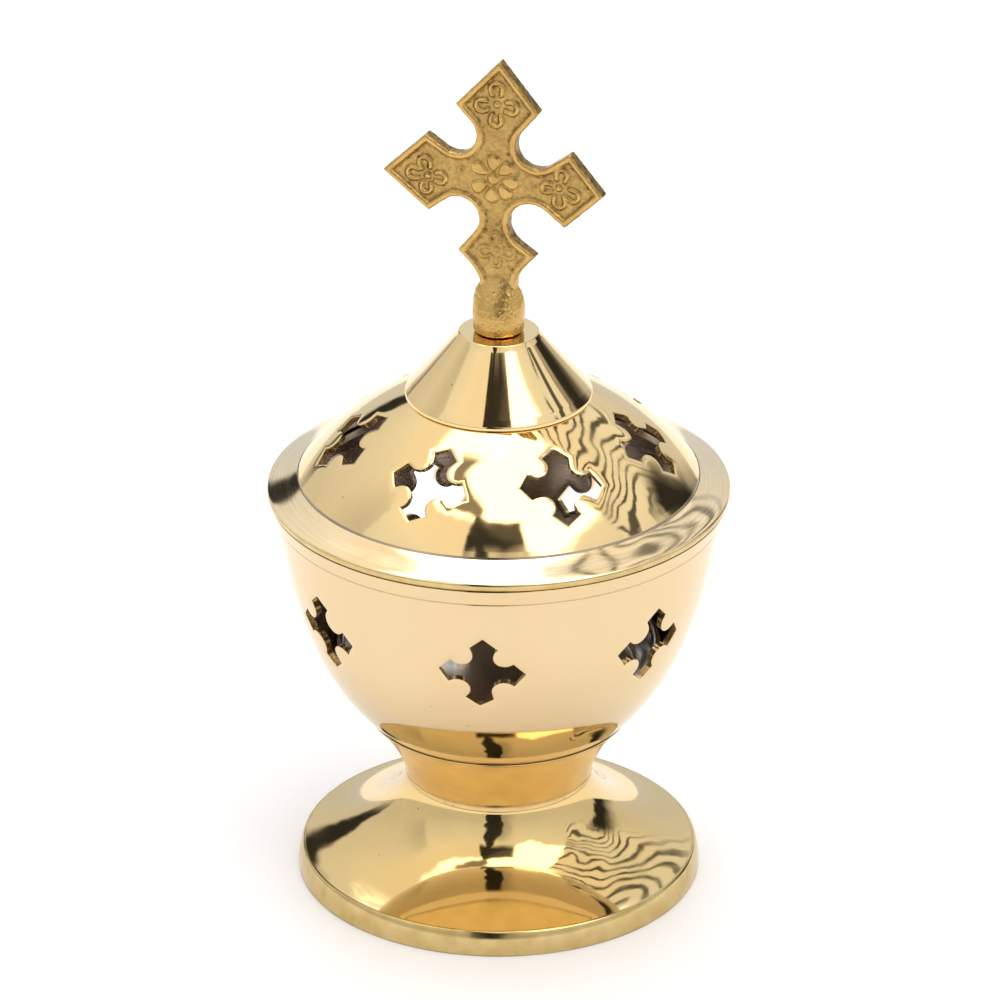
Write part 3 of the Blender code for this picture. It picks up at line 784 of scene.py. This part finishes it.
def plate_mesh(outline):
    """The cross's blade with sloping sides, standing at its own middle, front towards -Y."""
    away = outward(outline)
    half = CROSS_THICKNESS / 2
    body = bmesh.new()
    rings = [[body.verts.new((x * MM, level * MM, y * MM)) for x, y in outline + away * grow]
             for level, grow in ((-half, -0.22), (-half + 0.5, 0.0), (half, -0.03))]
    for first, second in zip(rings, rings[1:]):
        for index in range(len(outline)):
            body.faces.new((first[index - 1], first[index], second[index], second[index - 1]))
    body.faces.new(rings[0])
    body.faces.new(rings[-1][::-1])
    bmesh.ops.recalc_face_normals(body, faces=body.faces)
    return body


def cross_piece(material):
    outline = cross_outline()
    body = plate_mesh(outline)
    seat = CAP_TOP + FIT
    knob = ((0.02, 0.02, 122.0), (3.2, 0.9, 122.0), (3.2, 1.1, 121.0), (3.25, 1.3, 119.9), (3.4, 1.6, 118.8),
            (3.8, 2.1, 117.8), (4.35, 2.8, 116.8), (4.68, 3.6, 115.6), (4.8, 4.3, 114.2), (4.8, 4.7, 112.8),
            (4.72, 4.72, 111.2), (4.55, 4.55, seat + 0.35), (4.2, 4.2, seat), (THREAD_RADIUS, THREAD_RADIUS, seat))
    rows = [circled(*size, SMALL_ANGLES) for size in knob]
    stem = loft("cross_stem", rows + threaded_rows(seat - 0.2, extent("cross_finial")[1]), material)
    stem.data.transform(Matrix.Translation((0, 0, -CROSS_CENTRE * MM)))
    body.from_mesh(stem.data)
    bpy.data.objects.remove(stem)
    mesh = bpy.data.meshes.new("cast_cross")
    body.to_mesh(mesh)
    body.free()
    thing = new_object("cast_cross_finial", mesh)
    voxels = thing.modifiers.new("one_casting", "REMESH")
    voxels.mode = "VOXEL"
    voxels.voxel_size = VOXEL * MM
    calm = thing.modifiers.new("calm", "SMOOTH")
    calm.factor = 0.5
    calm.iterations = 2
    bake_modifiers(thing)
    mesh = thing.data

    def read(source, field):
        flat = np.zeros(len(source) * 3, np.float32)
        source.foreach_get(field, flat)
        return flat.reshape(-1, 3).astype(float)

    points, looks = read(mesh.vertices, "co") / MM, read(mesh.vertex_normals, "vector")
    height = points[:, 2]
    grain = Grain(7)
    front = (looks[:, 1] < -0.5) & (height > NECK)
    relief, hollow = np.zeros((2, len(points)))
    relief[front], hollow[front] = cross_relief(points[front][:, [0, 2]], outline, grain)
    fade = smoothstep(NECK, NECK + 1.5, height) * smoothstep(0.5, 0.8, -looks[:, 1])
    points[:, 1] -= relief * fade
    rough = (0.05 * grain(points, 0.9) + 0.02 * grain(points + 9.0, 0.36)) * (1 - fade * front)
    # Painted shade: the blade's side walls that face right and upward, above the knob, are darkened as if in shade.
    # They go into the same hollow attribute as the patina of the cast hollows.
    side = smoothstep(0.75, 0.35, np.abs(looks[:, 1])) * smoothstep(-0.3, 0.4, looks[:, 0] + 0.4 * looks[:, 2])
    hollow = np.maximum(hollow * fade, side * smoothstep(-18.0, -16.0, height))
    pits = np.minimum(0.0, grain(points, 0.5) + 0.3) * 0.2
    pits *= smoothstep(-19.0, -20.5, height) * smoothstep(-28.9, -28.2, height)
    points += looks * ((rough + pits) * smoothstep(-29.3, -28.9, height))[:, None]
    filed_look = np.array([0.88, -0.35, 0.33])
    over = points @ filed_look - ((114.6 - CROSS_CENTRE) * filed_look[2] + 4.35)
    filed = (over > 0) & (height < -20.0) & (height > -27.5)
    points[filed] -= over[filed][:, None] * filed_look
    # The hollow attribute holds the patina of the hollows together with the painted shade on the side walls that face
    # right and up.
    shade = mesh.attributes.new("hollow", "FLOAT", "POINT")
    shade.data.foreach_set("value", hollow.astype(np.float32))
    mesh.vertices.foreach_set("co", (points * MM).astype(np.float32).ravel())
    mesh.transform(Matrix.Translation((0, 0, CROSS_CENTRE * MM)) @ Matrix.Rotation(CROSS_TURN, 4, "Z"))
    mesh.materials.clear()
    mesh.materials.append(material)
    mesh.shade_smooth()
    mesh.update()
    return thing


# ---- materials

class Net:
    """A node tree being wired up."""

    def __init__(self, tree):
        self.tree = tree

    def set(self, socket, value):
        if isinstance(value, bpy.types.NodeSocket):
            self.tree.links.new(value, socket)
        else:
            socket.default_value = value

    def add(self, kind, inputs=None, **settings):
        """A node with its settings and its inputs, each a value or another node's output."""
        node = self.tree.nodes.new("ShaderNode" + kind)
        for key, value in settings.items():
            setattr(node, key, value)
        for key, value in (inputs or {}).items():
            self.set(node.inputs[key], value)
        return node

    def math(self, operation, *values):
        return self.add("Math", dict(enumerate(values)), operation=operation).outputs[0]

    def noise(self, vector, scale, detail=2.0, roughness=0.5):
        node = self.add("TexNoise", {"Vector": vector, "Scale": scale, "Detail": detail, "Roughness": roughness})
        return node.outputs["Fac"]

    def stretch(self, value, low, high, first=0.0, last=1.0, smooth=False):
        """Maps a value from one range to another, kept inside it."""
        kind = "SMOOTHSTEP" if smooth else "LINEAR"
        node = self.add("MapRange", {"Value": value, "From Min": low, "From Max": high, "To Min": first,
                                     "To Max": last}, clamp=True, interpolation_type=kind)
        return node.outputs["Result"]

    def mix(self, share, first, second):
        node = self.add("Mix", data_type="RGBA")
        self.set(node.inputs[0], share)
        for socket, value in ((node.inputs[6], first), (node.inputs[7], second)):
            self.set(socket, (*value, 1.0) if isinstance(value, tuple) else value)
        return node.outputs[2]


class Finish(Net):
    """A material put together round its Principled shader, in object coordinates made millimetres."""

    def __init__(self, name, colour, roughness, metallic=1.0):
        self.material = bpy.data.materials.new(name)
        self.material.use_nodes = True
        super().__init__(self.material.node_tree)
        self.sockets = self.tree.nodes["Principled BSDF"].inputs
        for socket, value in (("Metallic", metallic), ("Base Color", (*colour, 1.0)), ("Roughness", roughness)):
            self.set(self.sockets[socket], value)
        where = self.add("TexCoord").outputs["Object"]
        self.place = self.add("VectorMath", {0: where, "Scale": 1 / MM}, operation="SCALE").outputs[0]

    def use(self, socket, value):
        self.set(self.sockets[socket], value)

    def cloud(self, scale, *shape):
        """Noise all over; shape is its detail and roughness."""
        return self.noise(self.place, scale, *shape)

    def stretched(self, scale, rotation, *shape):
        """Noise drawn out in one direction."""
        settings = {"Vector": self.place, "Rotation": rotation, "Scale": scale}
        return self.noise(self.add("Mapping", settings).outputs[0], 1.0, *shape)

    def rings(self, across, around, *shape):
        """Noise that runs with the lathe: fast along a profile, slow round the axis."""
        parts = self.add("SeparateXYZ", {0: self.place}).outputs
        flat = self.add("CombineXYZ", {0: parts[0], 1: parts[1]}).outputs[0]
        radius = self.add("VectorMath", {0: flat}, operation="LENGTH").outputs["Value"]
        facing = self.add("VectorMath", {0: flat}, operation="NORMALIZE").outputs[0]
        turn = self.add("SeparateXYZ", {0: facing}).outputs
        run = self.math("MULTIPLY_ADD", radius, across, self.math("MULTIPLY", turn[1], around))
        rise = self.math("MULTIPLY", parts[2], across)
        side = self.math("MULTIPLY", turn[0], around)
        return self.noise(self.add("CombineXYZ", {0: run, 1: rise, 2: side}).outputs[0], 1.0, *shape)

    def spots(self, scale, full, none, most=1.0):
        """Scattered round spots, at their most out to full and gone beyond none."""
        cells = self.add("TexVoronoi", {"Vector": self.place, "Scale": scale}, feature="F1")
        return self.stretch(cells.outputs["Distance"], full, none, most, 0.0)

    def tint(self, value, low, high, first, last):
        """A colour that goes from the first to the last while the value goes from low to high."""
        return self.mix(self.stretch(value, low, high), first, last)

    def stained(self, tone, stain, share, colour):
        """Covers a share of the tone with another colour where the stain is."""
        return self.mix(self.math("MULTIPLY", stain, share), tone, colour)

    def sheen(self, first, second, low, high, smooth, rough):
        """Roughness from the sum of two values."""
        self.use("Roughness", self.stretch(self.math("ADD", first, second), low, high, smooth, rough))

    def carved(self, *layers):
        """The finished material, with layers of relief, each a texture and its height in millimetres."""
        normal = {}
        for height, millimetres in layers:
            bump = self.add("Bump", {"Height": height, "Distance": millimetres * MM, "Strength": 1.0, **normal})
            normal = {"Normal": bump.outputs[0]}
        self.use("Normal", bump.outputs[0])
        return self.material


# Painted reflection: one polished brass, given a different tone for each piece so that each matches how bright its
# reflections look. The bowl is darker and bluer, the lid brighter and the foot deeper.
BRASS_TONES = {
    "foot_brass": ((0.76, 0.56, 0.25), (0.71, 0.49, 0.19)),
    "bowl_brass": ((0.74, 0.57, 0.335), (0.71, 0.525, 0.27)),
    "lid_brass": ((0.86, 0.65, 0.33), (0.82, 0.58, 0.26)),
}


def polished_brass(name, bright, deep):
    """Spun, buffed brass: faint lathe lines, a slow ripple, wiping haze, hairlines and a few specks."""
    finish = Finish(name, bright, 0.07)
    lines, fine = finish.rings(2.6, 1.4, 3.0, 0.6), finish.rings(9.0, 2.0, 2.0, 0.5)
    ripple, dents, haze = finish.cloud(0.05, 1.0), finish.cloud(0.12, 1.0), finish.cloud(0.11, 4.0, 0.65)
    hairs = finish.stretched((0.25, 4.0, 0.25), (0.5, 0.3, 0.9), 2.0, 0.7)
    tone = finish.tint(haze, 0.35, 0.7, bright, deep)
    tone = finish.mix(finish.stretch(haze, 0.3, 0.8, 0.72, 1.0), tone, bright)
    finish.use("Base Color", finish.stained(tone, finish.spots(0.16, 0.022, 0.05), 0.55, (0.28, 0.16, 0.06)))
    smear, hair = finish.stretch(haze, 0.42, 0.75, 0.035, 0.11), finish.stretch(hairs, 0.6, 0.8, 0.0, 0.05)
    finish.use("Roughness", finish.math("ADD", smear, hair))
    return finish.carved((ripple, 0.09), (dents, 0.012), (lines, 0.0011), (fine, 0.00035), (hairs, 0.0004))


def satin_brass():
    """Turned brass with a softer polish, and sandy pits from its casting along its lower edge."""
    finish = Finish("satin_brass", (0.80, 0.60, 0.30), 0.16)
    lines, cloud, sand = finish.rings(5.0, 1.5, 3.0, 0.6), finish.cloud(0.22, 3.0), finish.cloud(2.6, 2.0, 0.6)
    height = finish.add("SeparateXYZ", {0: finish.place}).outputs[2]
    low = finish.stretch(height, COLLAR_LOW + 0.6, COLLAR_LOW + 3.5, 1.0, 0.12)
    pit = finish.math("MULTIPLY", finish.spots(1.1, 0.08, 0.2), low)
    pit = finish.math("MULTIPLY", pit, finish.stretch(cloud, 0.42, 0.55))
    tone = finish.tint(cloud, 0.3, 0.7, (0.80, 0.595, 0.29), (0.73, 0.52, 0.23))
    finish.use("Base Color", finish.stained(tone, pit, 0.7, (0.25, 0.15, 0.06)))
    finish.sheen(sand, cloud, 0.7, 1.3, 0.12, 0.22)
    return finish.carved((lines, 0.004), (sand, 0.0025), (pit, -0.04))


def turned_finish(name, rings, clouds, tones, span, sheen, depth, most=1.3):
    """A turned surface with the lathe's rings, and with tone and sheen in clouds.

    rings: rates across and around, detail, roughness; clouds: scale, detail, roughness.
    """
    finish = Finish(name, tones[0], sheen[0])
    ring, cloud = finish.rings(*rings), finish.cloud(*clouds)
    finish.use("Base Color", finish.tint(cloud, *span, *tones))
    finish.sheen(ring, cloud, 0.7, most, *sheen)
    return finish.carved((ring, depth))


def edge_brass():
    """Turned edges that were brushed rather than buffed, in a darker tone that is a painted dark reflection."""
    return turned_finish("edge_brass", (7.0, 0.35, 3.0, 0.65), (0.3, 3.0), ((0.67, 0.51, 0.24), (0.56, 0.41, 0.16)),
                         (0.35, 0.7), (0.08, 0.2), 0.005)


def brim_brass():
    """The lid's brim: buffed along its length, paler and a little hazier than the rest."""
    finish = Finish("brim_brass", (0.88, 0.73, 0.47), 0.13)
    wipe, streaks = finish.rings(2.2, 5.0, 4.0, 0.6), finish.rings(6.0, 1.2, 3.0, 0.6)
    finish.use("Base Color", finish.tint(wipe, 0.35, 0.68, (0.90, 0.74, 0.48), (0.85, 0.66, 0.37)))
    finish.sheen(wipe, streaks, 0.75, 1.3, 0.05, 0.12)
    return finish.carved((finish.cloud(0.09, 1.0), 0.05), (wipe, 0.003), (streaks, 0.0012))


def inner_brass():
    """The inner skins: left as spun, dulled, with plain lathe rings; their dark brown tone is painted shade for the
    inside of the pieces.
    """
    return turned_finish("inner_brass", (3.2, 0.8, 4.0, 0.6), (0.09, 4.0, 0.6),
                         ((0.56, 0.45, 0.33), (0.34, 0.26, 0.21)), (0.35, 0.68), (0.14, 0.32), 0.006, 1.35)


def sawn_brass():
    """Walls of the sawn crosses: bright, with the saw's fine marks."""
    finish = Finish("sawn_brass", (0.86, 0.64, 0.32), 0.2)
    marks = finish.stretched((3.0, 3.0, 9.0), (0.0, 0.0, 0.0), 3.0, 0.6)
    finish.use("Base Color", finish.tint(marks, 0.35, 0.65, (0.90, 0.69, 0.36), (0.66, 0.44, 0.18)))
    finish.use("Roughness", finish.stretch(marks, 0.35, 0.7, 0.12, 0.3))
    return finish.carved((marks, 0.02))


def cast_brass():
    """Sand-cast brass: brighter where it was brushed, with painted glints scattered through its sand grain. It is
    browner and grainy in its hollows, and darker in painted shade on the blade's side walls that face right and up.
    """
    finish = Finish("cast_brass", (0.60, 0.38, 0.13), 0.4)
    # hollow carries the patina of the hollows together with the painted shade on the side walls that face right and
    # up.
    hollow = finish.add("Attribute", attribute_name="hollow", attribute_type="GEOMETRY").outputs["Fac"]
    cloud, sand, crust = finish.cloud(0.28, 4.0, 0.6), finish.cloud(4.2, 3.0, 0.7), finish.cloud(1.3, 4.0, 0.65)
    raised = finish.tint(cloud, 0.35, 0.7, (0.62, 0.405, 0.135), (0.47, 0.29, 0.085))
    # Painted glints: bright specks where the sand noise peaks, mixed into the raised tone.
    raised = finish.mix(finish.stretch(sand, 0.56, 0.78, 0.0, 0.6), raised, (0.86, 0.64, 0.30))
    deep = finish.tint(crust, 0.35, 0.65, (0.33, 0.205, 0.065), (0.15, 0.095, 0.035))
    share = finish.math("MULTIPLY", hollow, finish.stretch(crust, 0.3, 0.62, 0.3, 0.95))
    stain = finish.stretch(finish.math("MULTIPLY", finish.stretch(crust, 0.6, 0.7), cloud), 0.32, 0.45, 0.0, 0.6)
    tone = finish.mix(finish.math("MAXIMUM", share, stain), raised, deep)
    black = finish.math("MULTIPLY", finish.spots(0.55, 0.16, 0.3, 0.9), finish.stretch(cloud, 0.47, 0.55))
    finish.use("Base Color", finish.stained(tone, black, hollow, (0.05, 0.04, 0.025)))
    finish.sheen(finish.math("MULTIPLY", hollow, 0.4), sand, 0.3, 1.0, 0.15, 0.4)
    return finish.carved((crust, 0.1), (sand, 0.014))


def satin_steel():
    """The pan: spun steel, close to bright, with fine turning rings."""
    return turned_finish("satin_steel", (4.5, 0.5, 3.0, 0.55), (0.12, 3.0),
                         ((0.80, 0.79, 0.78), (0.64, 0.63, 0.62)), (0.35, 0.7), (0.08, 0.2), 0.004)


def zinc_steel():
    """Zinc-plated fasteners: pale, slightly blotched and finely grained."""
    finish = Finish("zinc_steel", (0.58, 0.58, 0.59), 0.32)
    blotch, grain = finish.cloud(0.7, 4.0, 0.6), finish.cloud(6.0, 2.0)
    finish.use("Base Color", finish.tint(blotch, 0.35, 0.7, (0.64, 0.65, 0.66), (0.47, 0.46, 0.43)))
    finish.sheen(blotch, grain, 0.7, 1.3, 0.22, 0.45)
    return finish.carved((grain, 0.004))


def pale_floor():
    finish = Finish("pale_floor", (0.86, 0.87, 0.89), 0.75, 0.0)
    paper = finish.cloud(0.02, 3.0)
    finish.use("Base Color", finish.tint(paper, 0.3, 0.7, (0.85, 0.86, 0.885), (0.84, 0.85, 0.875)))
    return finish.material


# ---- putting it together

def place_piece(piece, body, slot, *nodes):
    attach(piece, body)
    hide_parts(*nodes)


def build_pieces():
    foot_brass, bowl_brass, lid_brass = (polished_brass(name, *tones) for name, tones in BRASS_TONES.items())
    inside, cut, brushed, zinc = inner_brass(), sawn_brass(), edge_brass(), zinc_steel()
    draw = random.Random(11)
    place_piece(foot_piece(foot_brass, inside, brushed), "stand", "polished_brass", "foot")
    place_piece(collar_piece(satin_brass(), inside), "stand", "satin_brass", "stem_collar")
    place_piece(bowl_piece(bowl_brass, inside, cut, draw), "stand", "polished_brass", "bowl")
    place_piece(dome_piece(lid_brass, inside, cut, draw), "lid", "polished_brass", "lid_dome")
    place_piece(brim_piece(brim_brass(), inside, brushed), "lid", "polished_brass", "lid_brim")
    place_piece(cap_piece(lid_brass, inside), "lid", "polished_brass", "lid_cap")
    place_piece(cross_piece(cast_brass()), "lid", "cast_brass", "cross_finial")
    place_piece(pan_piece(satin_steel()), "charcoal_pan", "satin_steel", "charcoal_pan")
    for build, look, node, body in (
            (screw_piece, "m5_", "clamp_screw", "stand"),
            (washer_piece, "flat_", "clamp_washer", "stand"),
            (washer_piece, "flat_", "foot_washer", "stand"),
            (washer_piece, "flat_", "finial_washer", "lid"),
            (spring_washer_piece, "split_", "spring_washer", "stand"),
            (spring_washer_piece, "split_", "finial_spring_washer", "lid"),
            (nut_piece, "hexagon_", "foot_nut", "stand"),
            (nut_piece, "hexagon_", "finial_nut", "lid")):
        place_piece(build(look + node, node, zinc), body, "zinc_steel", node)


# ---- studio

WALL_LIGHT = 0.96
CEILING_LIGHT = 3.0


def studio_floor():
    mesh = bpy.data.meshes.new("studio_floor")
    disc = bmesh.new()
    bmesh.ops.create_circle(disc, cap_ends=True, segments=96, radius=4.0)
    disc.to_mesh(mesh)
    disc.free()
    floor = new_object("studio_floor", mesh, pale_floor())
    floor.location.z = cad_low.z


def studio_light():
    light = bpy.data.lights.new("overhead", "AREA")
    light.size = 3.0
    light.energy = 8.0
    lamp = new_object("overhead", light)
    lamp.location = (0.2, -0.1, 1.6)
    lamp.rotation_euler = (Vector((0.0, 0.0, 0.08)) - lamp.location).to_track_quat("-Z", "Y").to_euler()
    lamp.visible_glossy = False


def studio_world():
    """A pale studio: white above, a dark gap ahead, a panel of streaky boards to the right, dark gaps at the sides.

    turn is the compass direction seen from the censer, 0 towards the camera and growing to the right,
    and rise the height over the horizon, both in degrees.
    """
    world = bpy.data.worlds.new("soft_studio")
    bpy.context.scene.world = world
    world.use_nodes = True
    net = Net(world.node_tree)
    way = net.add("TexCoord").outputs["Generated"]
    x, y, z = net.add("SeparateXYZ", {0: way}).outputs[:3]

    def both(first, second):
        return net.math("MULTIPLY", first, second)

    def either(first, second):
        return net.math("MAXIMUM", first, second)

    def without(value):
        return net.math("SUBTRACT", 1.0, value)

    def blend(share, amount, value):
        """value plus share times amount."""
        return net.math("MULTIPLY_ADD", share, amount, value)

    def ramp(value, low, high):
        """0 to 1 from low to high, which falls where low is the larger."""
        return net.stretch(value, low, high, smooth=True)

    def band(value, low, high, soft_low, soft_high):
        return both(ramp(value, low - soft_low, low + soft_low), ramp(value, high + soft_high, high - soft_high))

    def wander(scale, amount, value):
        return blend(net.math("SUBTRACT", net.noise(way, scale, 2.0), 0.5), amount, value)

    turn = net.math("DEGREES", net.math("ARCTAN2", x, both(y, -1.0)))
    turn = wander(9.0, 7.0, wander(2.1, 16.0, turn))
    rise = wander(3.3, 12.0, net.math("DEGREES", net.math("ARCSINE", z)))
    slant = blend(rise, 0.6, turn)

    light = blend(net.noise(way, 1.4, 2.0), 0.14, WALL_LIGHT - 0.07)
    light = net.math("ADD", light, net.stretch(rise, 12.0, 48.0, -0.18, 0.1))
    seam = both(band(turn, -108.0, -88.0, 16.0, 1.2), band(rise, 22.0, 48.0, 10.0, 3.0))
    light = blend(seam, -0.2, light)

    edge = net.stretch(turn, -20.0, 35.0, 62.0, 47.0)
    ceiling = ramp(net.math("SUBTRACT", rise, edge), -1.5, 2.5)
    ceiling = both(ceiling, without(both(ramp(turn, 88.0, 96.0), ramp(rise, 64.0, 58.0))))
    light = blend(ceiling, CEILING_LIGHT - WALL_LIGHT, light)

    behind = ramp(net.math("ABSOLUTE", turn), 146.0, 172.0)
    glow = both(behind, band(rise, 45.0, 72.0, 3.0, 6.0))
    glow = both(glow, net.stretch(net.noise(way, 13.0, 2.0), 0.4, 0.52, 0.3, 1.0, smooth=True))
    light = blend(glow, 2.2, light)

    wave = blend(net.noise(way, 1.7, 1.0), 38.0, blend(turn, 0.32, rise))
    thick = net.stretch(net.noise(way, 4.0, 1.0), 0.35, 0.65, -0.92, -0.2)
    streak = ramp(net.math("SUBTRACT", net.math("SINE", both(wave, 1.35)), thick), -0.25, 0.3)
    boards = both(band(turn, 80.0, 166.0, 2.0, 6.0), band(rise, 26.0, 68.0, 6.0, 4.0))
    light = net.math("ADD", both(light, without(boards)), both(blend(streak, 0.92, 0.12), boards))

    ragged = blend(net.stretch(rise, 38.0, 46.0), wander(5.0, 30.0, 8.0), turn)
    dark = both(both(ramp(turn, -18.8, -17.2), ramp(ragged, 6.0, 2.0)), ramp(rise, 64.0, 61.0))
    dark = either(dark, both(both(band(turn, 0.0, 14.0, 1.0, 9.0), ramp(rise, 50.0, 40.0)), 0.4))
    lean = blend(turn, 0.13, rise)
    for share, first, second in (
            (1.0, (turn, -24.0, 19.0, 1.2, 2.5), (rise, 51.0, 65.0, 3.0, 1.2)),          # a lintel ahead
            (1.0, (slant, 126.0, 144.0, 2.0, 8.0), (rise, -12.0, 27.0, 3.0, 4.0)),       # the gap on the right
            (1.0, (slant, -148.0, -139.0, 1.5, 1.5), (rise, 4.0, 44.0, 8.0, 3.0)),       # the gap on the left
            (0.93, (turn, -116.0, -18.0, 16.0, 4.0), (lean, 60.0, 68.0, 1.5, 2.5))):     # a rail on the left
        dark = either(dark, both(both(band(*first), band(*second)), share))
    light = both(light, net.stretch(dark, 0.0, 1.0, 1.0, 0.04))

    seen = net.add("LightPath").outputs["Is Camera Ray"]
    hidden = without(seen)
    light = blend(light, hidden, seen)
    warm = both(both(ramp(rise, 40.0, 58.0), without(behind)), hidden)
    tint = net.mix(warm, (1.0, 1.0, 1.0), (1.08, 1.0, 0.9))
    background = world.node_tree.nodes["Background"]
    net.set(background.inputs["Color"], net.mix(both(behind, hidden), tint, (0.92, 0.98, 1.1)))
    net.set(background.inputs["Strength"], light)


def studio_camera():
    camera = bpy.data.cameras.new("camera")
    camera.sensor_width = 36.0
    camera.lens = 233.1
    camera.shift_x = 0.0012
    camera.clip_start = 0.01
    camera.clip_end = 20.0
    holder = new_object("camera", camera)
    holder.location = (0.0, -1.0698, 0.5889)
    holder.rotation_euler = (radians(64.33), 0.0, 0.0)
    bpy.context.scene.camera = holder


build_pieces()
studio_floor()
studio_world()
studio_light()
studio_camera()
bpy.context.scene.view_settings.view_transform = "Standard"
